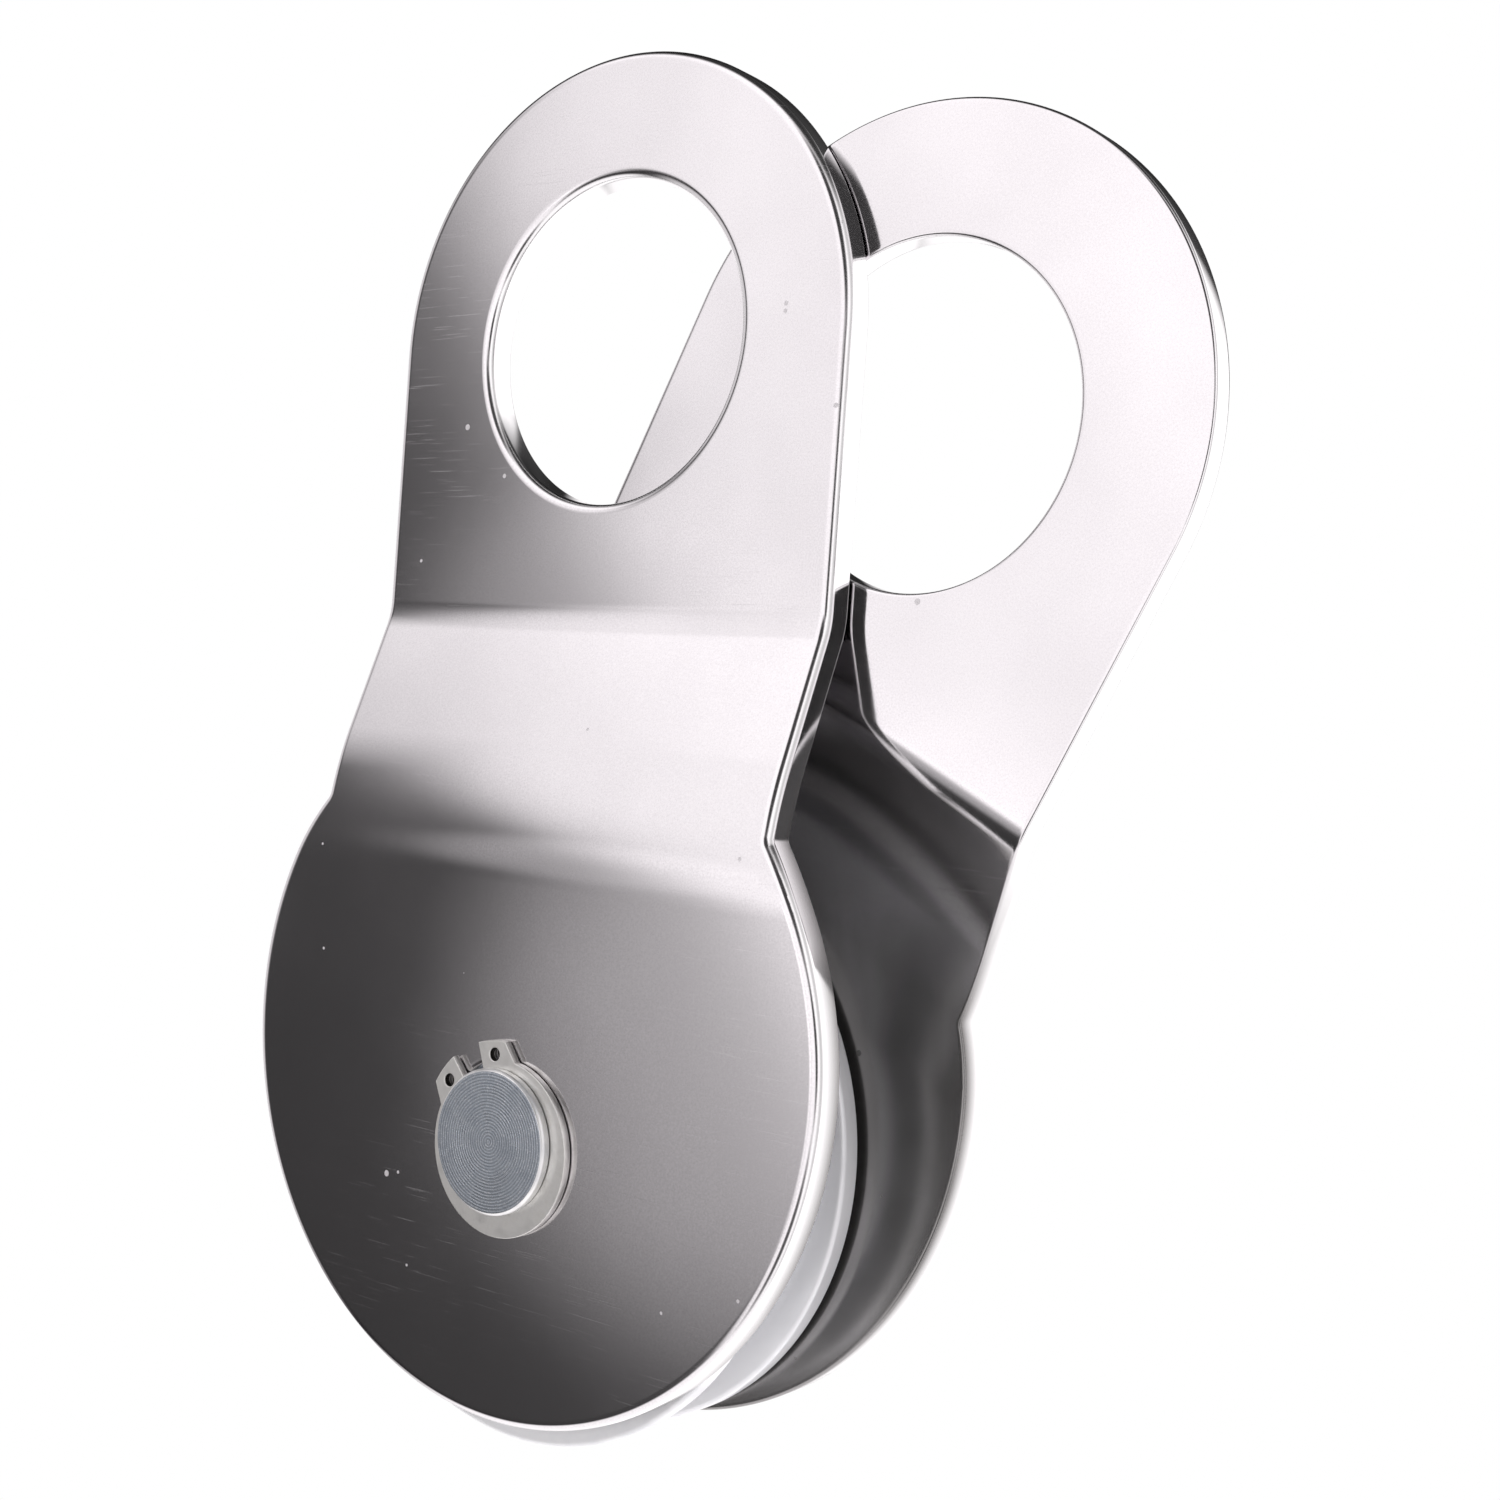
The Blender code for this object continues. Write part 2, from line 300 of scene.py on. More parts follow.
class Graph:
    """The nodes of a material or of the world."""

    def __init__(self, tree: bpy.types.NodeTree) -> None:
        """Takes the tree that the nodes go in."""
        self.tree = tree

    def add(self, kind: str, sockets: dict | None = None, **settings: object) -> bpy.types.Node:
        """Adds a node.

        Args:
            kind: the node's type, without its ShaderNode prefix.
            sockets: input name or number to a value, or to another node's output.
            **settings: the node's own properties.

        Returns:
            The node.
        """
        node = self.tree.nodes.new(f"ShaderNode{kind}")
        for key, value in settings.items():
            setattr(node, key, value)
        for key, value in (sockets or {}).items():
            self.feed(node.inputs[key], value)
        return node

    def feed(self, socket: Socket, value: Value) -> None:
        """Sets an input to a value, or links an output to it.

        Args:
            socket: the input.
            value: the value or the output.
        """
        if isinstance(value, Socket):
            self.tree.links.new(value, socket)
        else:
            socket.default_value = value

    def maths(self, operation: str, *values: Value, clamp: bool = False) -> Socket:
        """The output of a Math node.

        Args:
            operation: its operation.
            *values: what goes in, each a number or an output.
            clamp: whether the result is kept from 0 to 1.

        Returns:
            The node's output.
        """
        node = self.add("Math", dict(enumerate(values)), operation=operation, use_clamp=clamp)
        return node.outputs[0]

    def spread(
        self, value: Value, low: float, high: float, to_low: float, to_high: float, fade: Fade = Fade.EVEN
    ) -> Socket:
        """Maps a range of a value to another range, kept within it.

        Args:
            value: the output that is mapped.
            low: the value that gives to_low.
            high: the value that gives to_high.
            to_low: the result at low.
            to_high: the result at high.
            fade: how the result goes from one to the other.

        Returns:
            The node's output.
        """
        sockets = {0: value, 1: low, 2: high, 3: to_low, 4: to_high}
        return self.add("MapRange", sockets, interpolation_type=fade.value).outputs[0]


class MaterialGraph(Graph):
    """The nodes of one material, round its metallic shader."""

    def __init__(self, name: str) -> None:
        """Starts a material with only its shader.

        Args:
            name: the material's name.
        """
        self.material = bpy.data.materials.new(name)
        self.material.use_nodes = True
        super().__init__(self.material.node_tree)
        self.shader = self.tree.nodes["Principled BSDF"]
        self.set("Metallic", 1.0)

    def set(self, name: str, value: Value) -> None:
        """Sets or links one of the shader's inputs."""
        self.feed(self.shader.inputs[name], value)

    def blend(self, share: Value, first: Value, second: Value) -> Socket:
        """A colour between two.

        Args:
            share: 0 gives the first, 1 the second.
            first: a colour or an output.
            second: a colour or an output.

        Returns:
            The node's output.
        """
        return self.add("Mix", {0: share, 6: first, 7: second}, data_type="RGBA").outputs[2]

    def place(self, centre: Vector, scale: Sequence[float] = (1, 1, 1), turn: float = 0.0) -> Socket:
        """The piece's own coordinates, centred, turned about Y and stretched.

        Args:
            centre: the point that becomes zero.
            scale: the stretch along each axis.
            turn: the angle about Y, in radians.

        Returns:
            The mapping's output.
        """
        own = self.add("TexCoord").outputs["Object"]
        moved = self.add("Mapping", {"Vector": own, "Location": -centre}).outputs[0]
        sockets = {"Vector": moved, "Rotation": (0, turn, 0), "Scale": scale}
        return self.add("Mapping", sockets).outputs[0]

    def noise(self, where: Socket, scale: float, detail: float = 2.0, distortion: float = 0.0) -> Socket:
        """The grey output of a noise.

        Args:
            where: the coordinates.
            scale: how many lumps there are to a metre.
            detail: how many finer layers it has.
            distortion: how much it is stirred.

        Returns:
            The node's output.
        """
        sockets = {"Vector": where, "Scale": scale, "Detail": detail, "Distortion": distortion}
        return self.add("TexNoise", sockets).outputs[0]

    def relief(self, height: Socket, depth: float, under: Socket | None = None) -> Socket:
        """Bumps the surface.

        Args:
            height: the output that is read as height, 0 to 1.
            depth: how deep it is, in metres.
            under: the normal that the bumps stand on.

        Returns:
            The bumped normal.
        """
        sockets = {"Height": height, "Distance": depth, "Strength": 1.0}
        if under is not None:
            sockets["Normal"] = under
        return self.add("Bump", sockets).outputs[0]

    def finish(self, colour: Value, roughness: Value, normal: Socket) -> bpy.types.Material:
        """Feeds the shader.

        Args:
            colour: a colour or an output.
            roughness: a number or an output.
            normal: the bumped normal.

        Returns:
            The material.
        """
        self.set("Base Color", colour)
        self.set("Roughness", roughness)
        self.set("Normal", normal)
        return self.material


# Finishes


@dataclass(frozen=True)
class MirrorChrome:
    """Bright chrome over pressed plate: orange peel, a hazy grain, hairlines and dust, with a painted
    highlight on the roundings and a painted shade inside the lobe.
    """

    name: str
    centre: Vector
    turn: float
    colour: Colour = (0.84, 0.82, 0.835, 1.0)
    hazy_colour: Colour = (0.72, 0.70, 0.715, 1.0)
    edge_highlight_colour: Colour = (0.90, 0.90, 0.90, 1.0)
    inside_shade_colour: Colour = (0.26, 0.255, 0.25, 1.0)
    inside_shade_metal: float = 0.87
    polish: float = 0.055
    haze: float = 0.05
    cloud_scale: float = 28.0
    peel_scale: float = 320.0
    grain_scale: float = 3600.0
    dust_scale: float = 260.0
    peel_depth: float = 1.2e-6
    grain_depth: float = 0.35e-6
    hairline_depth: float = 1.0e-6
    hairline_turns: tuple[float, float] = (math.radians(24), math.radians(-61))

    def hairlines(self, graph: MaterialGraph, where: Socket) -> Socket:
        """Fine scratches in two directions, where the plate has been rubbed.

        Args:
            graph: the material's nodes.
            where: the plate's coordinates.

        Returns:
            1 on a scratch and 0 beside it.
        """
        first_turn, second_turn = self.hairline_turns
        along = graph.place(self.centre, (90, 90, 5200), self.turn + first_turn)
        across = graph.place(self.centre, (70, 70, 4600), self.turn + second_turn)
        lines = graph.maths(
            "MAXIMUM",
            graph.spread(graph.noise(along, 1.0, 1.0), 0.70, 0.76, 0.0, 1.0),
            graph.spread(graph.noise(across, 1.0, 1.0), 0.71, 0.77, 0.0, 1.0),
        )
        rubbed_and_highlit = graph.spread(graph.noise(where, 16.0, 2.0), 0.42, 0.62, 0.0, 1.0)
        return graph.maths("MULTIPLY", lines, rubbed_and_highlit)

    def dust(self, graph: MaterialGraph, where: Socket) -> Socket:
        """A few specks of dust.

        Args:
            graph: the material's nodes.
            where: the plate's coordinates.

        Returns:
            1 on a speck and 0 beside it.
        """
        sockets = {"Vector": where, "Scale": self.dust_scale, "Randomness": 1.0}
        specks = graph.add("TexVoronoi", sockets).outputs["Distance"]
        reach = graph.spread(graph.noise(where, 110.0, 0.0), 0.66, 0.74, 0.0, 0.13)
        return graph.maths("LESS_THAN", specks, reach)

    def inside_shade(self, graph: MaterialGraph) -> Socket:
        """The streaky painted shade inside the lobe, between the plates.

        Args:
            graph: the material's nodes.

        Returns:
            How strong it is, 0 to 1.
        """
        inside_shade = graph.add("Attribute", attribute_name="inside_shade_amount").outputs["Fac"]
        streaks = graph.noise(graph.place(self.centre, (60, 60, 18), self.turn), 1.0, 3.0, 0.6)
        return graph.maths("MULTIPLY", inside_shade, graph.spread(streaks, 0.3, 0.6, 0.82, 1.0))

    def material(self) -> bpy.types.Material:
        """Builds the material.

        Returns:
            The material.
        """
        graph = MaterialGraph(self.name)
        where = graph.place(self.centre, turn=self.turn)
        clouds = graph.noise(where, self.cloud_scale, 3.0)
        peel = graph.noise(where, self.peel_scale, 2.0)
        grain = graph.noise(where, self.grain_scale, 3.0)
        hairlines = self.hairlines(graph, where)
        dust = self.dust(graph, where)
        inside_shade = self.inside_shade(graph)
        edge = graph.add("Attribute", attribute_name="edge_turn").outputs["Fac"]
        painted_light = graph.spread(edge, 0.05, 0.6, 0.0, 1.0)

        hazy = graph.spread(clouds, 0.35, 0.7, 0.0, 0.6)
        hazy = graph.maths("ADD", hazy, graph.spread(grain, 0.3, 0.7, 0.0, 0.7), clamp=True)
        colour = graph.blend(hazy, self.colour, self.hazy_colour)
        # Painted highlight: the roundings and side walls are paler.
        colour = graph.blend(painted_light, colour, self.edge_highlight_colour)
        # Painted shade: the inside of the lobe, between the plates, is darker and less metallic.
        colour = graph.blend(inside_shade, colour, self.inside_shade_colour)
        graph.set("Metallic", graph.spread(inside_shade, 0.0, 1.0, 1.0, self.inside_shade_metal))

        rough = graph.spread(clouds, 0.3, 0.7, self.polish, self.polish + self.haze)
        rough = graph.maths("ADD", rough, graph.spread(grain, 0.35, 0.7, 0.0, 0.035))
        rounding = graph.maths("MULTIPLY", edge, graph.maths("SUBTRACT", 1.0, edge))
        for mark, dulling in ((rounding, 0.36), (inside_shade, 0.09), (hairlines, 0.10), (dust, 0.45)):
            rough = graph.maths("MULTIPLY_ADD", mark, dulling, rough)
        normal = graph.relief(peel, self.peel_depth)
        normal = graph.relief(grain, self.grain_depth, normal)
        normal = graph.relief(hairlines, -self.hairline_depth, normal)
        return graph.finish(colour, rough, normal)


@dataclass(frozen=True)
class TurnedMetal:
    """Metal faced and turned on a lathe: rings round the axle, fine tool lines and dull patches."""

    name: str
    colour: Colour
    dull_colour: Colour
    glint_colour: Colour = (0.92, 0.93, 0.95, 1.0)
    ring_colour: Colour = (0.12, 0.14, 0.17, 1.0)
    roughness: float = 0.30
    dulling: float = 0.14
    ring_pitch: float = 0.55 * MM
    ring_depth: float = 3.0e-6
    ring_tone: float = 0.0
    fine_rings: float = 3.7
    grain_depth: float = 2.0e-6
    grain_size: float = 0.25 * MM
    patch_scale: float = 210.0
    sheen: float = 0.0
    sparkle: float = 0.5
    metal: float = 1.0

    def rings(
        self, graph: MaterialGraph, where: Socket, pitch: float, distortion: float, detail_scale: float
    ) -> Socket:
        """Rings round the axle's line.

        Args:
            graph: the material's nodes.
            where: the coordinates, from the axle's middle.
            pitch: how far apart the rings are.
            distortion: how unsteady they are.
            detail_scale: how short their unsteadiness is.

        Returns:
            The wave's output.
        """
        scale = FULL_TURN / (20 * pitch)  # a wave's rings are 2 pi / 20 apart at scale 1
        sockets = {"Vector": where, "Scale": scale, "Distortion": distortion, "Detail": 2.0}
        sockets["Detail Scale"] = detail_scale
        return graph.add("TexWave", sockets, wave_type="RINGS", rings_direction="Y").outputs["Fac"]

    def material(self) -> bpy.types.Material:
        """Builds the material.

        Returns:
            The material.
        """
        graph = MaterialGraph(self.name)
        where = graph.place(AXLE)
        rings = self.rings(graph, where, self.ring_pitch, 1.2, 0.4)
        fine = self.rings(graph, where, self.ring_pitch / self.fine_rings, 4.0, 1.0)
        lathe = graph.maths("MULTIPLY_ADD", fine, 0.35, rings)
        grain = graph.noise(where, 1.0 / self.grain_size, 3.0)
        dull = graph.spread(graph.noise(where, self.patch_scale, 3.0, 0.4), 0.4, 0.65, 0.0, 1.0)

        colour = graph.blend(dull, self.colour, self.dull_colour)
        colour = graph.blend(graph.spread(grain, 0.54, 0.68, 0.0, self.sparkle), colour, self.glint_colour)
        colour = graph.blend(graph.spread(lathe, 0.2, 1.1, self.ring_tone, 0.0), colour, self.ring_colour)
        rough = graph.spread(dull, 0.0, 1.0, self.roughness, self.roughness + self.dulling)
        rough = graph.maths("MULTIPLY_ADD", rings, -0.06, rough)
        normal = graph.relief(lathe, self.ring_depth)
        normal = graph.relief(grain, self.grain_depth, normal)
        graph.set("Metallic", self.metal)
        graph.set("Anisotropic", self.sheen)
        graph.set("Tangent", graph.add("Tangent", direction_type="RADIAL", axis="Y").outputs[0])
        return graph.finish(colour, rough, normal)


@dataclass(frozen=True)
class ShadedHoleWall:
    """The wall of a small punched hole, painted nearly black as painted shade inside the hole, with drag
    lines.
    """

    name: str
    # painted shade: nearly black, for the shade inside the hole
    colour: Colour = (0.035, 0.033, 0.030, 1.0)
    torn_colour: Colour = (0.10, 0.095, 0.085, 1.0)
    drag_depth: float = 8e-6

    def material(self) -> bpy.types.Material:
        """Builds the material.

        Returns:
            The material.
        """
        graph = MaterialGraph(self.name)
        drag = graph.noise(graph.place(AXLE, (6000, 900, 6000)), 1.0, 2.0)
        colour = graph.blend(graph.spread(drag, 0.4, 0.7, 0.0, 1.0), self.colour, self.torn_colour)
        rough = graph.spread(drag, 0.3, 0.7, 0.42, 0.6)
        return graph.finish(colour, rough, graph.relief(drag, self.drag_depth))


@dataclass(frozen=True)
class SatinSteel:
    """Tumbled spring steel: even satin with tiny dents and a few rubbed spots."""

    name: str
    colour: Colour = (0.78, 0.775, 0.75, 1.0)
    stained_colour: Colour = (0.60, 0.59, 0.56, 1.0)
    roughness: float = 0.33
    staining: float = 0.12
    dent_scale: float = 2600.0
    dent_depth: float = 2.2e-6
    blotch_scale: float = 420.0

    def material(self) -> bpy.types.Material:
        """Builds the material.

        Returns:
            The material.
        """
        graph = MaterialGraph(self.name)
        where = graph.place(AXLE)
        dents = graph.noise(where, self.dent_scale, 3.0)
        blotches = graph.noise(where, self.blotch_scale, 3.0)
        stain = graph.spread(blotches, 0.45, 0.72, 0.0, 0.7)
        colour = graph.blend(stain, self.colour, self.stained_colour)
        rough = graph.spread(blotches, 0.3, 0.7, self.roughness, self.roughness + self.staining)
        return graph.finish(colour, rough, graph.relief(dents, self.dent_depth))


# Flat stampings


@dataclass
class Hole:
    """A round hole through a stamping, and the material slot of its wall."""

    centre: Vector
    radius: float
    steps: int
    wall_slot: int = 0


@dataclass
class Stamping:
    """A flat piece punched from sheet, its edges rounded on the front (-Y) and on the back."""

    thickness: float
    front_round: float
    back_round: float
    round_segments: int
    flat_border: float

    def stamp(self, mesh: BMesh, holes: Sequence[Hole]) -> None:
        """Turns a drawn outline into a closed flat piece.

        Args:
            mesh: holds the outline alone, in a plane of constant Y, which becomes the middle.
            holes: the holes through it.
        """
        half = self.thickness / 2
        middle = mesh.verts[:][0].co.y
        bmesh.ops.remove_doubles(mesh, verts=mesh.verts[:], dist=WELD)
        bmesh.ops.contextual_create(mesh, geom=mesh.edges[:])
        bmesh.ops.translate(mesh, verts=mesh.verts[:], vec=(0, -half, 0))
        grown = bmesh.ops.extrude_face_region(mesh, geom=mesh.faces[:], use_keep_orig=True)
        back = [item for item in grown["geom"] if isinstance(item, BMVert)]
        bmesh.ops.translate(mesh, verts=back, vec=(0, self.thickness, 0))
        bmesh.ops.recalc_face_normals(mesh, faces=mesh.faces[:])
        for side, radius in ((-1, self.front_round), (1, self.back_round)):
            cap = max(mesh.faces, key=lambda face: side * face.normal.y * face.calc_area())
            round_edges(mesh, cap.edges[:], radius, self.round_segments)
        caps = sorted(mesh.faces, key=lambda face: -face.calc_area())[:2]
        bmesh.ops.inset_region(mesh, faces=caps, thickness=self.flat_border, use_even_offset=True)
        bmesh.ops.delete(mesh, geom=caps, context="FACES_ONLY")
        for hole in holes:
            self.bore(mesh, hole, middle)
        for depth in (middle - half, middle + half):
            self.fill(mesh, depth)
        weld(mesh)
        note_edges(mesh)

    def fill(self, mesh: BMesh, depth: float) -> None:
        """Fills the flat between the outline's border and the holes' borders.

        Args:
            mesh: the stamping.
            depth: where the flat is along Y.
        """
        open_edges = [
            edge
            for edge in mesh.edges
            if edge.is_boundary and all(abs(vert.co.y - depth) < WELD * 10 for vert in edge.verts)
        ]
        bmesh.ops.triangle_fill(mesh, use_beauty=True, edges=open_edges)

    def bore(self, mesh: BMesh, hole: Hole, middle: float) -> None:
        """Adds a hole's wall with its two rounded rims.

        Args:
            mesh: the stamping.
            hole: the hole.
            middle: the depth of the stamping's middle along Y.
        """
        half = self.thickness / 2
        front = hole.radius + self.front_round
        back = hole.radius + self.back_round
        centre = hole.centre.copy()
        centre.y = middle
        wall = bmesh.new()

        def at(radius: float, depth: float) -> Vector:
            """A point of the rim's profile."""
            return centre + Vector((radius, depth, 0))

        pen = Pen(wall, at(front + self.flat_border, -half), Vector((0, 0, -1)))
        pen.line(at(front, -half))
        pen.arc(at(front, self.front_round - half), QUARTER_TURN, self.round_segments)
        pen.line(at(hole.radius, half - self.back_round))
        pen.arc(at(back, half - self.back_round), QUARTER_TURN, self.round_segments)
        pen.line(at(back + self.flat_border, half))
        spin_round(wall, centre, AXLE_LINE, hole.steps)
        for face in wall.faces:
            if abs(face.normal.y) < 0.1:
                face.material_index = hole.wall_slot
        carried = bpy.data.meshes.new("hole_wall")
        wall.to_mesh(carried)
        wall.free()
        mesh.from_mesh(carried)
        bpy.data.meshes.remove(carried)


# Cheek plates


@dataclass
class CheekPlate:
    """A joggled cheek plate with the shackle eye at its end."""

    side: Side
    thickness: float = 5.0 * MM
    lobe_radius: float = 57.0 * MM
    lobe_rise: float = 14.25 * MM
    lobe_steps: int = 200
    eye_steps: int = 120
    corner_radius: float = 2.0 * MM
    corner_steps: int = 8
    eye_hole: float = 25.4 * MM
    eye_hole_steps: int = 160
    axle_clearance: float = 0.2 * MM
    axle_hole_steps: int = 96
    lower_bend: float = 50.0 * MM
    upper_bend: float = 80.0 * MM
    lower_radius: float = 60.0 * MM
    upper_radius: float = 13.0 * MM
    bend_cuts: int = 20
    open_angle: float = math.radians(26.15)
    outer_round: float = 1.4 * MM
    front_inner_round: float = 0.25 * MM
    rear_inner_round: float = 0.6 * MM
    round_segments: int = 7
    flat_border: float = 0.35 * MM

    def __post_init__(self) -> None:
        """Works out what follows from the side and the frame."""
        rear = self.side is Side.REAR
        inner_round = self.rear_inner_round if rear else self.front_inner_round
        self.turn = self.open_angle if rear else 0.0
        self.sheet = Stamping(
            self.thickness, self.outer_round, inner_round, self.round_segments, self.flat_border
        )
        front_low, front_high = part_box("front_cheek_plate")
        self.eye_rise = -AXLE.z
        self.neck = front_high.z
        self.outer_face = -front_low.y
        self.middle = self.thickness / 2 - self.outer_face
        self.joggle = self.outer_face - self.thickness + front_high.y
        self.axle_hole = size_of("axle_pin").x / 2 + self.axle_clearance
        self.slope = math.atan2(self.joggle, self.upper_bend - self.lower_bend)

    def outline(self, mesh: BMesh) -> None:
        """Draws the plate's outline round the axle's centre, clockwise from the right corner.

        Args:
            mesh: the empty mesh that it is drawn in.
        """
        middle = Vector((0, self.middle, AXLE.z))
        lobe = middle + Vector((0, 0, self.lobe_rise))
        eye = middle + Vector((0, 0, self.eye_rise))
        corner_x = self.neck + self.corner_radius
        corner_rise = math.sqrt((self.lobe_radius + self.corner_radius) ** 2 - corner_x**2)
        tangent = math.atan2(corner_rise, corner_x)
        right = lobe + Vector((corner_x, 0, corner_rise))
        left = lobe + Vector((-corner_x, 0, corner_rise))
        start = lobe + self.lobe_radius * Vector((math.cos(tangent), 0, math.sin(tangent)))
        pen = Pen(mesh, start, FACING)
        pen.arc(lobe, -math.pi - 2 * tangent, self.lobe_steps)
        pen.arc(left, tangent, self.corner_steps)
        pen.line(eye + Vector((-self.neck, 0, 0)))
        pen.arc(eye, -math.pi, self.eye_steps)
        pen.line(right + Vector((-self.corner_radius, 0, 0)))
        pen.arc(right, tangent, self.corner_steps)
        pen.close()

    def bend_span(self, bend: float) -> tuple[float, float]:
        """Where a bend starts and ends.

        Args:
            bend: the height above the axle where the bend's two flats would meet.

        Returns:
            The two heights above the axle.
        """
        if bend == self.lower_bend:
            tangent = self.lower_radius * math.tan(self.slope / 2)
            return bend - tangent, bend + tangent * math.cos(self.slope)
        tangent = self.upper_radius * math.tan(self.slope / 2)
        return bend - tangent * math.cos(self.slope), bend + tangent

    def pushed(self, height: float) -> float:
        """How far the press moves the plate inwards.

        Args:
            height: the height above the axle.

        Returns:
            The distance along Y.
        """
        low_start, low_end = self.bend_span(self.lower_bend)
        up_start, up_end = self.bend_span(self.upper_bend)
        if height <= low_start:
            return 0.0
        if height <= low_end:
            return self.lower_radius - math.sqrt(self.lower_radius**2 - (height - low_start) ** 2)
        if height < up_start:
            return (height - self.lower_bend) * math.tan(self.slope)
        if height < up_end:
            rise = math.sqrt(self.upper_radius**2 - (up_end - height) ** 2)
            return self.joggle - self.upper_radius + rise
        return self.joggle

    def cut_across(self, mesh: BMesh) -> None:
        """Cuts the flat blank across at its bends, so that it can follow them.

        Args:
            mesh: the blank.
        """
        for bend in (self.lower_bend, self.upper_bend):
            start, end = self.bend_span(bend)
            step = (end - start) / self.bend_cuts
            heights = [start + step * i for i in range(self.bend_cuts + 1)]
            for height in [start - self.flat_border, *heights, end + self.flat_border]:
                bmesh.ops.bisect_plane(
                    mesh,
                    geom=mesh.verts[:] + mesh.edges[:] + mesh.faces[:],
                    dist=WELD,
                    plane_co=(0, 0, AXLE.z + height),
                    plane_no=(0, 0, 1),
                )

    def press(self, mesh: BMesh) -> None:
        """Presses the joggle into the blank and notes the painted shade on the inside of its lobe.

        Args:
            mesh: the blank, cut across at its bends.
        """
        # painted shade on the lobe's inside, fading out towards the upper bend
        inside_shade = mesh.verts.layers.float.new("inside_shade_amount")
        inner_side = self.middle + self.thickness / 2 - self.sheet.back_round
        for vert in mesh.verts:
            height = vert.co.z - AXLE.z
            if vert.co.y > inner_side - WELD:
                fade = (self.upper_bend - height) / (self.upper_bend - self.lower_bend)
                vert[inside_shade] = min(1.0, max(0.0, fade))
            vert.co.y += self.pushed(height)

    def swing_open(self, mesh: BMesh) -> None:
        """Turns the front plate's shape into the rear one, swung open about the axle."""
        turned = Matrix.Rotation(self.open_angle, 3, "Y") @ Matrix.Rotation(math.pi, 3, "Z")
        bmesh.ops.rotate(mesh, verts=mesh.verts[:], cent=AXLE, matrix=turned)

    def build(self) -> bpy.types.Object:
        """Makes the plate.

        Returns:
            The piece.
        """
        mesh = bmesh.new()
        self.outline(mesh)
        holes = [
            Hole(Vector((0, self.middle, 0)), self.eye_hole, self.eye_hole_steps),
            Hole(Vector((0, self.middle, AXLE.z)), self.axle_hole, self.axle_hole_steps),
        ]
        self.sheet.stamp(mesh, holes)
        self.cut_across(mesh)
        self.press(mesh)
        if self.side is Side.REAR:
            self.swing_open(mesh)
        bmesh.ops.recalc_face_normals(mesh, faces=mesh.faces[:])
        chrome = MirrorChrome(f"{self.side.label}_chrome", AXLE, self.turn)
        made = finished(mesh, f"{self.side.label}_cheek", [chrome.material()])
        return fit(made, f"{self.side.label}_cheek", f"{self.side.label}_cheek_plate")


# Axle line


@dataclass
class Turning:
    """A piece turned on the axle's line."""

    facets: int = 160

    def start(self, mesh: BMesh, radius: float, depth: float) -> Pen:
        """Puts the pen on the profile's first point."""
        return Pen(mesh, self.at(radius, depth), Vector((0, 0, 1)))

    def at(self, radius: float, depth: float) -> Vector:
        """A point of a profile: its radius, and its depth along Y from the parting plane."""
        return AXLE + Vector((radius, depth, 0))

    def turn_on_lathe(self, mesh: BMesh) -> None:
        """Spins the drawn profile once round the axle's line."""
        spin_round(mesh, AXLE, AXLE_LINE, self.facets)

    def plain_ring(self, node: str, inner_radius: float, rounding: float) -> BMesh:
        """Turns a plain ring that fills a node's box.

        Args:
            node: the frame's node.
            inner_radius: the radius of its hole.
            rounding: the radius of its four edges.

        Returns:
            The ring.
        """
        low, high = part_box(node)
        outer_radius = (high.x - low.x) / 2
        mesh = bmesh.new()
        pen = self.start(mesh, outer_radius, low.y)
        pen.line(self.at(inner_radius, low.y))
        pen.line(self.at(inner_radius, high.y))
        pen.line(self.at(outer_radius, high.y))
        pen.close()
        self.turn_on_lathe(mesh)
        round_edges(mesh, hard_edges(mesh, lambda radius: True), rounding, 3)
        weld(mesh)
        return mesh


class SheaveSkin(Enum):
    """The sheave's lit and shaded copies of one steel, as painted light and painted shade, numbered as its
    material slots.
    """

    BRIGHT = 0
    PAINTED_SHADE_STEEL = 1
    ZINC = 2


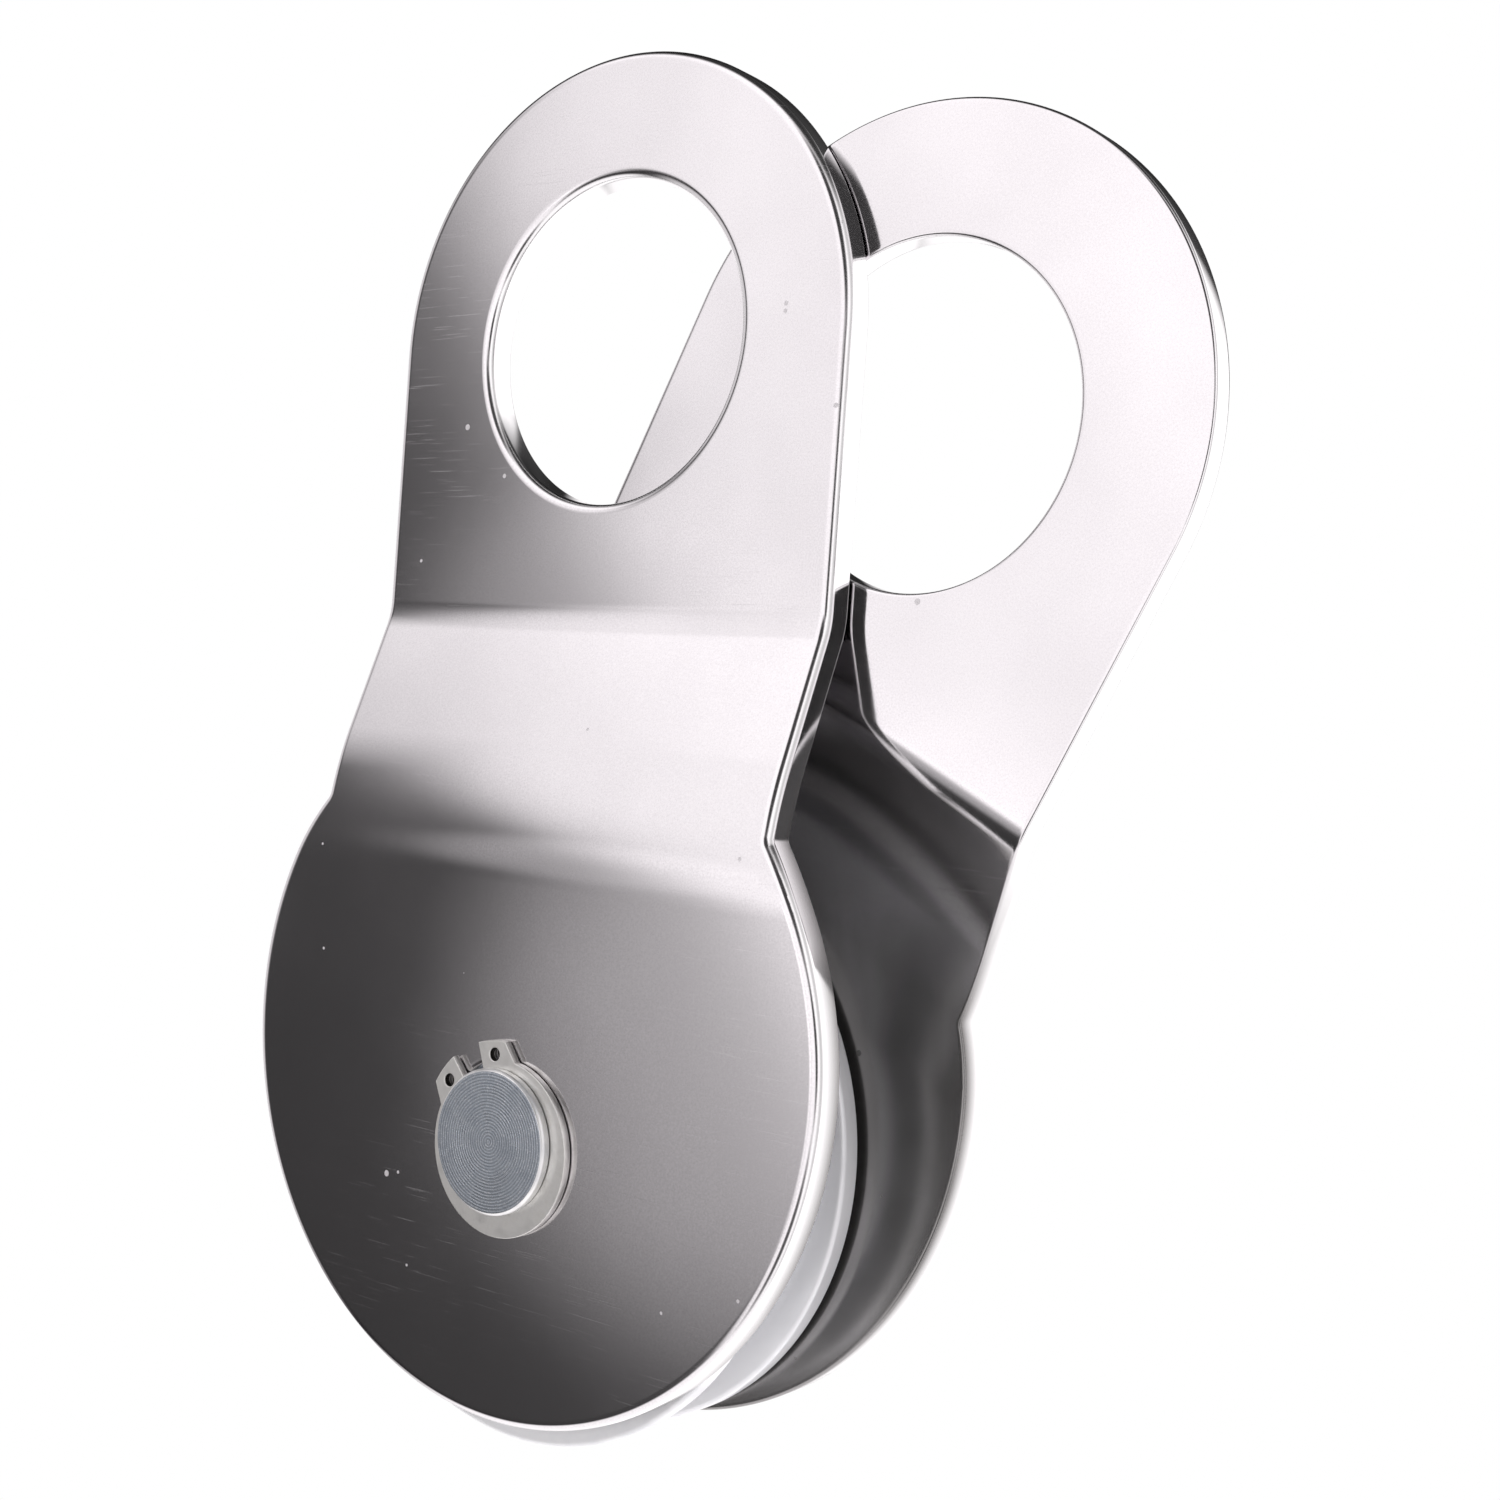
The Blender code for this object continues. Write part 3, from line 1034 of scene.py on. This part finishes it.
@dataclass
class Sheave(Turning):
    """The grooved wheel, in lit and shaded copies of one steel: painted light in the groove and on the
    zinc-white front rim, painted shade at the web, on the rear rim's back face and on the front groove
    wall's outer part.
    """

    rim_half_width: float = 10.6 * MM
    rim_depth: float = 14.5 * MM
    hub_radius: float = 20.5 * MM
    web_half_width: float = 5.5 * MM
    web_slope: float = 1.5 * MM
    groove_radius: float = 5.6 * MM
    groove_centre: float = 39.6 * MM
    groove_steps: int = 28
    flare: float = math.radians(10.0)
    bore: float = 14.1 * MM
    lip_round: float = 0.75 * MM
    lip_segments: int = 5
    edge_round: float = 0.5 * MM
    edge_segments: int = 3
    # the front groove wall gets painted shade beyond this radius
    painted_shade_radius: float = 42.5 * MM
    facets: int = 240

    def __post_init__(self) -> None:
        """Works out what follows from the frame and the groove's flare."""
        size = size_of("sheave")
        self.rim = size.x / 2
        # The hub is drawn as wide as the rim. The frame's hub is 0.65 mm less to each side, so the
        # two thrust washers sink 0.45 mm into this one, deep between the cheeks.
        self.hub_half_width = size.y / 2
        self.rim_foot = self.rim - self.rim_depth
        self.wall_radius = self.groove_centre + self.groove_radius * math.sin(self.flare)
        self.wall_depth = self.groove_radius * math.cos(self.flare)
        self.mouth = self.wall_depth + (self.rim - self.wall_radius) * math.tan(self.flare)

    def shape(self, mesh: BMesh) -> None:
        """Turns the wheel and rounds its edges.

        Args:
            mesh: the empty mesh that it is made in.
        """
        front_half = [
            (self.rim, -self.rim_half_width),
            (self.rim_foot, -self.rim_half_width),
            (self.rim_foot - self.web_slope, -self.web_half_width),
            (self.hub_radius + self.web_slope, -self.web_half_width),
            (self.hub_radius, -self.hub_half_width),
            (self.bore, -self.hub_half_width),
        ]
        pen = self.start(mesh, self.rim, -self.mouth)
        for radius, depth in front_half:
            pen.line(self.at(radius, depth))
        for radius, depth in reversed(front_half):
            pen.line(self.at(radius, -depth))
        pen.line(self.at(self.rim, self.mouth))
        pen.line(self.at(self.wall_radius, self.wall_depth))
        pen.arc(self.at(self.groove_centre, 0), math.pi + 2 * self.flare, self.groove_steps)
        pen.close()
        self.turn_on_lathe(mesh)
        lips = hard_edges(mesh, lambda radius: radius > self.rim - 2 * NEAR)
        round_edges(mesh, lips, self.lip_round, self.lip_segments)
        rest = hard_edges(mesh, lambda radius: radius < self.rim_foot + 2 * NEAR)
        round_edges(mesh, rest, self.edge_round, self.edge_segments)
        weld(mesh)

    def skin_at(self, face: BMFace) -> SheaveSkin:
        """The copy of the steel that a face of the wheel gets: painted light, painted shade, or the
        zinc-white painted light.

        Args:
            face: the face.

        Returns:
            Its finish.
        """
        middle = face.calc_center_median()
        radius = radius_of(middle)
        front = middle.y < AXLE.y
        # Painted shade on the web, the rear rim's back face and the front groove wall's outer part;
        # painted light in the groove and on the front rim.
        if radius < self.rim_foot - WELD:
            return SheaveSkin.PAINTED_SHADE_STEEL
        if abs(middle.y - AXLE.y) > self.mouth:
            if front:
                return SheaveSkin.ZINC
            return SheaveSkin.PAINTED_SHADE_STEEL if face.normal.y > 0.5 else SheaveSkin.BRIGHT
        # painted shade on the front groove wall's outer part, which the rear plate mirrors
        if front and radius > self.painted_shade_radius:
            return SheaveSkin.PAINTED_SHADE_STEEL
        return SheaveSkin.BRIGHT

    def finishes(self) -> list[TurnedMetal]:
        """The wheel's three copies of one steel: painted light, painted shade and zinc-white painted
        light.

        Returns:
            The finishes, in the order of SheaveSkin.
        """
        # The painted-light copies: pale, with little metal, so that they read as lit.
        painted_light = {"ring_pitch": 1.1 * MM, "sparkle": 0.08, "metal": 0.30}
        return [
            TurnedMetal(
                "sheave_steel",
                (0.96, 0.97, 0.99, 1.0),
                (0.92, 0.93, 0.95, 1.0),
                roughness=0.36,
                ring_depth=0.3e-6,
                grain_depth=0.3e-6,
                **painted_light,
            ),
            # Painted shade: a dark copy of the same steel, on the web, the rear rim's back face and the
            # front groove wall's outer part.
            TurnedMetal(
                "sheave_painted_shade",
                (0.27, 0.27, 0.275, 1.0),
                (0.22, 0.22, 0.225, 1.0),
                roughness=0.36,
                grain_depth=4.0e-6,
                sparkle=0.08,
            ),
            TurnedMetal(
                "sheave_zinc_painted_light",
                (0.93, 0.94, 0.95, 1.0),
                (0.86, 0.87, 0.89, 1.0),
                roughness=0.48,
                ring_depth=0.5e-6,
                **painted_light,
            ),
        ]

    def build(self) -> bpy.types.Object:
        """Makes the sheave.

        Returns:
            The piece.
        """
        mesh = bmesh.new()
        self.shape(mesh)
        for face in mesh.faces:
            face.material_index = self.skin_at(face).value
        made = finished(mesh, "rope_sheave", [finish.material() for finish in self.finishes()])
        return fit(made, "sheave_body", "sheave")


@dataclass
class Bush(Turning):
    """The bronze bush pressed into the sheave."""

    inner_radius: float = 11.15 * MM
    edge_round: float = 0.4 * MM

    def build(self) -> bpy.types.Object:
        """Makes the bush.

        Returns:
            The piece.
        """
        mesh = self.plain_ring("sheave_bush", self.inner_radius, self.edge_round)
        bronze = TurnedMetal("bearing_bronze", (0.72, 0.48, 0.24, 1.0), (0.50, 0.33, 0.17, 1.0))
        made = finished(mesh, "bronze_bush", [bronze.material()])
        return fit(made, "sheave_body", "sheave_bush")


@dataclass
class ThrustWasher(Turning):
    """A plain washer between the sheave's hub and a cheek."""

    side: Side = Side.FRONT
    inner_radius: float = 11.2 * MM
    edge_round: float = 0.2 * MM

    def build(self) -> bpy.types.Object:
        """Makes the washer.

        Returns:
            The piece.
        """
        node = f"{self.side.label}_thrust_washer"
        mesh = self.plain_ring(node, self.inner_radius, self.edge_round)
        steel = TurnedMetal(
            f"{self.side.label}_washer_steel", (0.46, 0.46, 0.47, 1.0), (0.36, 0.36, 0.37, 1.0)
        )
        made = finished(mesh, f"{self.side.label}_washer", [steel.material()])
        return fit(made, "axle", node)


@dataclass
class AxlePin(Turning):
    """The floating axle, faced on the lathe, with a circlip groove at each end."""

    groove_floor: float = 10.4 * MM
    groove_width: float = 1.5 * MM
    groove_to_end: float = 1.5 * MM
    chamfer: float = 0.4 * MM
    ring_count: int = 22
    ring_depth: float = 0.035 * MM
    ring_margin: float = 0.5 * MM
    edge_round: float = 0.08 * MM
    smooth_below: float = 50.0
    facets: int = 192

    def __post_init__(self) -> None:
        """Works out what follows from the frame."""
        size = size_of("axle_pin")
        self.radius = size.x / 2
        self.half_length = size.y / 2
        self.face_radius = self.radius - self.chamfer
        self.groove_outside = self.half_length - self.groove_to_end

    def front_half(self) -> list[tuple[float, float]]:
        """The profile of the front half, from the middle of its end: tool rings, edge and groove.

        Returns:
            Points of radius and depth.
        """
        groove_inside = self.groove_outside - self.groove_width
        pitch = (self.face_radius - self.ring_margin) / self.ring_count
        points = []
        for ring in range(self.ring_count):
            crest = pitch * (ring + 0.5)
            points.append((crest, -self.half_length))
            points.append((crest + pitch / 2, -self.half_length + self.ring_depth))
        return points + [
            (self.face_radius, -self.half_length),
            (self.radius, -self.half_length + self.chamfer),
            (self.radius, -self.groove_outside),
            (self.groove_floor, -self.groove_outside),
            (self.groove_floor, -groove_inside),
            (self.radius, -groove_inside),
        ]

    def shape(self, mesh: BMesh) -> None:
        """Turns the pin and breaks its corners.

        Args:
            mesh: the empty mesh that it is made in.
        """
        front = self.front_half()
        pen = self.start(mesh, 0.0, -self.half_length + self.ring_depth)
        for radius, depth in front:
            pen.line(self.at(radius, depth))
        for radius, depth in reversed(front):
            pen.line(self.at(radius, -depth))
        pen.line(self.at(0.0, self.half_length - self.ring_depth))
        self.turn_on_lathe(mesh)
        corners = hard_edges(mesh, lambda radius: radius > self.face_radius - NEAR)
        round_edges(mesh, corners, self.edge_round, 3)
        weld(mesh)

    def on_painted_highlight(self, face: BMFace) -> bool:
        """Whether a face is on the edge of an end, out to the circlip groove, which is painted lighter as
        a painted highlight.
        """
        middle = face.calc_center_median()
        return radius_of(middle) > self.face_radius - NEAR and abs(middle.y) > self.groove_outside

    def build(self) -> bpy.types.Object:
        """Makes the axle.

        Returns:
            The piece.
        """
        mesh = bmesh.new()
        self.shape(mesh)
        for face in mesh.faces:
            face.material_index = int(self.on_painted_highlight(face))
        steel = TurnedMetal(
            "axle_steel",
            (0.56, 0.61, 0.67, 1.0),
            (0.38, 0.42, 0.47, 1.0),
            ring_pitch=0.46 * MM,
            ring_depth=14.0e-6,
            grain_depth=12.0e-6,
            grain_size=0.16 * MM,
            ring_tone=0.6,
            sheen=0.65,
            sparkle=0.85,
        )
        # Painted highlight: a pale copy of the steel on the ends' edges.
        rubbed_and_highlit = TurnedMetal(
            "axle_painted_highlight",
            (0.93, 0.93, 0.92, 1.0),
            (0.78, 0.79, 0.80, 1.0),
            roughness=0.36,
            grain_depth=16.0e-6,
            grain_size=0.2 * MM,
        )
        made = finished(mesh, "axle", [steel.material(), rubbed_and_highlit.material()], self.smooth_below)
        return fit(made, "axle", "axle_pin")


@dataclass
class Circlip:
    """An external retaining ring: a tapering ring that ends in two lugs with plier holes."""

    side: Side
    inner_radius: float = 10.55 * MM
    outer_radius: float = 13.4 * MM
    eccentricity: float = 1.2 * MM
    ring_steps: int = 140
    lug_radius: float = 15.1 * MM
    lug_steps: int = 10
    hole_radius: float = 1.0 * MM
    hole_circle: float = 12.97 * MM
    hole_steps: int = 32
    gap_direction: float = math.radians(120.3)
    lug_start: float = math.radians(11.0)
    lug_hole: float = math.radians(23.9)
    lug_corner: float = math.radians(32.5)
    lug_foot: float = math.radians(43.0)
    edge_round: float = 0.14 * MM
    round_segments: int = 3
    flat_border: float = 0.05 * MM

    def __post_init__(self) -> None:
        """Works out what follows from the frame."""
        self.node = f"{self.side.label}_circlip"
        low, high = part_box(self.node)
        self.thickness = high.y - low.y
        self.centre = Vector((AXLE.x, (low.y + high.y) / 2, AXLE.z))

    def around(self, radius: float, angle: float) -> Vector:
        """A point at an angle from the middle of the gap, which is at +X until it is turned."""
        return self.centre + radius * Vector((math.cos(angle), 0, math.sin(angle)))

    def outline(self, mesh: BMesh) -> None:
        """Draws the ring's outline: its bore, and then its back from lug to lug.

        Args:
            mesh: the empty mesh that it is drawn in.
        """
        ring_centre = self.centre - Vector((self.eccentricity, 0, 0))
        sideways = self.eccentricity * math.sin(self.lug_foot)
        inwards = self.eccentricity * math.cos(self.lug_foot)
        foot = math.sqrt(self.outer_radius**2 - sideways**2) - inwards
        foot_point = self.around(foot, -self.lug_foot) - ring_centre
        foot_angle = math.atan2(-foot_point.z, foot_point.x)
        lug_sweep = self.lug_corner - self.lug_start
        pen = Pen(mesh, self.around(self.inner_radius, self.lug_start), FACING)
        pen.arc(self.centre, 2 * (math.pi - self.lug_start), self.ring_steps)
        pen.line(self.around(self.lug_radius, -self.lug_start))
        pen.arc(self.centre, -lug_sweep, self.lug_steps)
        pen.line(self.around(foot, -self.lug_foot))
        pen.arc(ring_centre, -2 * (math.pi - foot_angle), self.ring_steps)
        pen.line(self.around(self.lug_radius, self.lug_corner))
        pen.arc(self.centre, -lug_sweep, self.lug_steps)
        pen.close()

    def build(self) -> bpy.types.Object:
        """Makes the ring.

        Returns:
            The piece.
        """
        mesh = bmesh.new()
        self.outline(mesh)
        holes = [
            Hole(self.around(self.hole_circle, angle), self.hole_radius, self.hole_steps, 1)
            for angle in (self.lug_hole, -self.lug_hole)
        ]
        sheet = Stamping(
            self.thickness, self.edge_round, self.edge_round, self.round_segments, self.flat_border
        )
        sheet.stamp(mesh, holes)
        turned = Matrix.Rotation(-self.gap_direction, 3, "Y")
        bmesh.ops.rotate(mesh, verts=mesh.verts[:], cent=AXLE, matrix=turned)
        steel = SatinSteel(f"{self.side.label}_spring_steel")
        # The lug holes' walls are painted nearly black, as painted shade.
        wall = ShadedHoleWall(f"{self.side.label}_lug_hole")
        made = finished(mesh, f"{self.side.label}_retaining_ring", [steel.material(), wall.material()])
        return fit(made, "axle", self.node)


# Studio


def alignment(graph: Graph, towards: Vector) -> Socket:
    """How nearly the directions of the world point one way.

    Args:
        graph: the world's nodes.
        towards: the way.

    Returns:
        The cosine of the angle between them.
    """
    ways = graph.add("TexCoord").outputs["Generated"]
    dot = graph.add("VectorMath", {0: ways, 1: towards.normalized()}, operation="DOT_PRODUCT")
    return dot.outputs["Value"]


@dataclass(frozen=True)
class Patch:
    """A round patch of the surroundings: its direction, its core and edge in degrees, its strength."""

    towards: tuple[float, float, float]
    core: float
    edge: float
    strength: float
    fade: Fade = Fade.EVEN

    def level(self, graph: Graph) -> Socket:
        """The patch's strength, full inside its core and fading to its edge.

        Args:
            graph: the world's nodes.

        Returns:
            The strength in each direction.
        """
        aligned = alignment(graph, Vector(self.towards))
        at_edge = math.cos(math.radians(self.edge))
        at_core = math.cos(math.radians(self.core))
        return graph.spread(aligned, at_edge, at_core, 0.0, self.strength, self.fade)


class Mixing(Enum):
    """How a glow joins the rest of the light."""

    ADDED = "ADD"
    BRIGHTER = "MAXIMUM"


@dataclass(frozen=True)
class Glow(Patch):
    """A patch that is lit."""

    mixing: Mixing = Mixing.BRIGHTER


@dataclass
class SoftLight:
    """Soft white light from the front right, and the glows and shades that the chrome mirrors."""

    key_towards: tuple[float, float, float] = (0.687, -0.551, 0.474)
    key_falloff: tuple[tuple[float, float], ...] = (
        (-1.0, 0.006), (-0.45, 0.020), (-0.20, 0.040), (-0.12, 0.050), (-0.06, 0.068), (-0.03, 0.105),
        (-0.01, 0.18), (0.0, 0.27), (0.015, 0.42), (0.03, 0.58), (0.045, 0.69), (0.06, 0.77),
        (0.08, 0.82), (0.11, 0.86), (0.20, 0.89), (0.27, 1.0), (0.34, 1.0),
    )  # the cosine of the angle from the key light's direction, and the light there
    belt_inside: float = 0.12
    belt_outside: float = 0.48
    belt_light: float = 0.50
    glows: tuple[Glow, ...] = (
        Glow((-0.5537, -0.8210, -0.1392), 0.0, 12.0, 0.30, Fade.SOFT, Mixing.ADDED),
        Glow((-0.6488, -0.7597, 0.0436), 0.0, 6.5, 0.21, Fade.SOFT, Mixing.ADDED),
        Glow((-0.50, -0.48, 0.72), 12.0, 30.0, 1.0),
        Glow((0.35, 0.72, -0.60), 46.0, 56.0, 1.0),
        Glow((0.62, 0.75, 0.25), 24.0, 34.0, 1.0),
        Glow((-0.10, 0.0, -1.0), 40.0, 52.0, 0.9),
        Glow((-0.80, 0.58, -0.15), 24.0, 36.0, 0.85),
        Glow((-0.99, -0.14, 0.0), 21.0, 32.0, 0.60),
    )
    shades: tuple[Patch, ...] = (
        Patch((0.57, -0.82, 0.01), 10.0, 16.5, 0.985),
        Patch((0.33, -0.77, -0.54), 10.0, 20.0, 0.95),
        Patch((0.28, -0.80, 0.53), 16.0, 26.0, 0.96),
        Patch((0.0, 0.10, 1.0), 30.0, 46.0, 0.95),
    )
    tint: tuple[float, float, float] = (1.0, 0.97, 0.985)
    strength: float = 1.32

    def key_light(self, graph: Graph) -> Socket:
        """The main light, bright to the front right and above, by the angle from its direction.

        Args:
            graph: the world's nodes.

        Returns:
            The light's grey.
        """
        aligned = alignment(graph, Vector(self.key_towards))
        halved = graph.maths("MULTIPLY_ADD", aligned, 0.5, 0.5)
        ramp = graph.add("ValToRGB", {0: halved})
        marks = ramp.color_ramp.elements
        while len(marks) < len(self.key_falloff):
            marks.new(0.5)
        for mark, (where, grey) in zip(marks, self.key_falloff):
            mark.position = where / 2 + 0.5
            mark.color = (grey, grey, grey, 1.0)
        return ramp.outputs["Color"]

    def beside(self, graph: Graph) -> Socket:
        """Dims the main light in a belt square to the axle, so that little gets between the plates.

        Args:
            graph: the world's nodes.

        Returns:
            What the main light is multiplied by.
        """
        along = graph.maths("ABSOLUTE", alignment(graph, AXLE_LINE))
        return graph.spread(along, self.belt_inside, self.belt_outside, self.belt_light, 1.0)

    def build(self) -> None:
        """Makes the world."""
        world = bpy.data.worlds.new("soft_light")
        bpy.context.scene.world = world
        world.use_nodes = True
        graph = Graph(world.node_tree)
        light = graph.maths("MULTIPLY", self.key_light(graph), self.beside(graph))
        for glow in self.glows:
            light = graph.maths(glow.mixing.value, light, glow.level(graph))
        for shade in self.shades:
            light = graph.maths("MULTIPLY", light, graph.maths("SUBTRACT", 1.0, shade.level(graph)))
        tinted = graph.add("VectorMath", {0: self.tint, "Scale": light}, operation="SCALE")
        background = graph.tree.nodes["Background"]
        graph.feed(background.inputs["Color"], tinted.outputs[0])
        graph.feed(background.inputs["Strength"], self.strength)


@dataclass
class Studio:
    """A white room, its light and the camera."""

    floor_drop: float = 0.20
    floor_radius: float = 2.2
    cove_radius: float = 1.2
    cove_steps: int = 24
    wall_height: float = 3.5
    room_facets: int = 96
    camera_place: tuple[float, float, float] = (0.2100, -0.2454, -0.0601)
    camera_azimuth: float = math.radians(36.41)
    camera_height: float = math.radians(0.34)
    camera_roll: float = math.radians(4.07)
    lens: float = 48.96
    sensor: float = 36.0
    clip: tuple[float, float] = (0.01, 50.0)

    def white(self) -> bpy.types.Material:
        """The room's plain white paint.

        Returns:
            The material.
        """
        paint = bpy.data.materials.new("room_white")
        paint.use_nodes = True
        tree = paint.node_tree
        tree.nodes.clear()
        glow = tree.nodes.new("ShaderNodeEmission")
        out = tree.nodes.new("ShaderNodeOutputMaterial")
        tree.links.new(glow.outputs[0], out.inputs[0])
        return paint

    def room(self) -> None:
        """Makes the floor, its cove and the wall all round, which only the camera sees."""
        low = CAD_BOX[0].z - self.floor_drop
        mesh = bmesh.new()
        pen = Pen(mesh, Vector((0, 0, low)), FACING)
        pen.line(Vector((self.floor_radius, 0, low)))
        pen.arc(Vector((self.floor_radius, 0, low + self.cove_radius)), QUARTER_TURN, self.cove_steps)
        pen.line(pen.last.co + Vector((0, 0, self.wall_height)))
        spin_round(mesh, Vector(), Vector((0, 0, 1)), self.room_facets)
        made = finished(mesh, "white_room", [self.white()])
        made.visible_glossy = False
        made.visible_diffuse = False
        made.visible_transmission = False
        made.visible_shadow = False

    def camera(self) -> None:
        """Makes the camera."""
        data = bpy.data.cameras.new("camera")
        data.sensor_width = self.sensor
        data.lens = self.lens
        data.clip_start, data.clip_end = self.clip
        made = bpy.data.objects.new("camera", data)
        bpy.context.scene.collection.objects.link(made)
        level = math.cos(self.camera_height)
        back = Vector(
            (
                math.sin(self.camera_azimuth) * level,
                -math.cos(self.camera_azimuth) * level,
                math.sin(self.camera_height),
            )
        )
        turned = (-back).to_track_quat("-Z", "Y").to_matrix()
        rolled = turned @ Matrix.Rotation(self.camera_roll, 3, "Z")
        made.matrix_world = Matrix.Translation(self.camera_place) @ rolled.to_4x4()
        bpy.context.scene.camera = made

    def build(self) -> None:
        """Sets the camera, the room and the light."""
        self.camera()
        self.room()
        SoftLight().build()
        bpy.context.scene.view_settings.view_transform = "Standard"


def main() -> None:
    """Builds the studio and the block, and reports each piece."""
    logging.basicConfig(level=logging.INFO, format="%(name)s: %(message)s")
    Studio().build()
    LOG.info("studio set")
    paired = [maker(side=side) for side in Side for maker in (CheekPlate, Circlip, ThrustWasher)]
    for piece in [*paired, Sheave(), Bush(), AxlePin()]:
        made = piece.build()
        LOG.info("%s: %d faces", made.name, len(made.data.polygons))


if __name__ == "__main__":
    main()
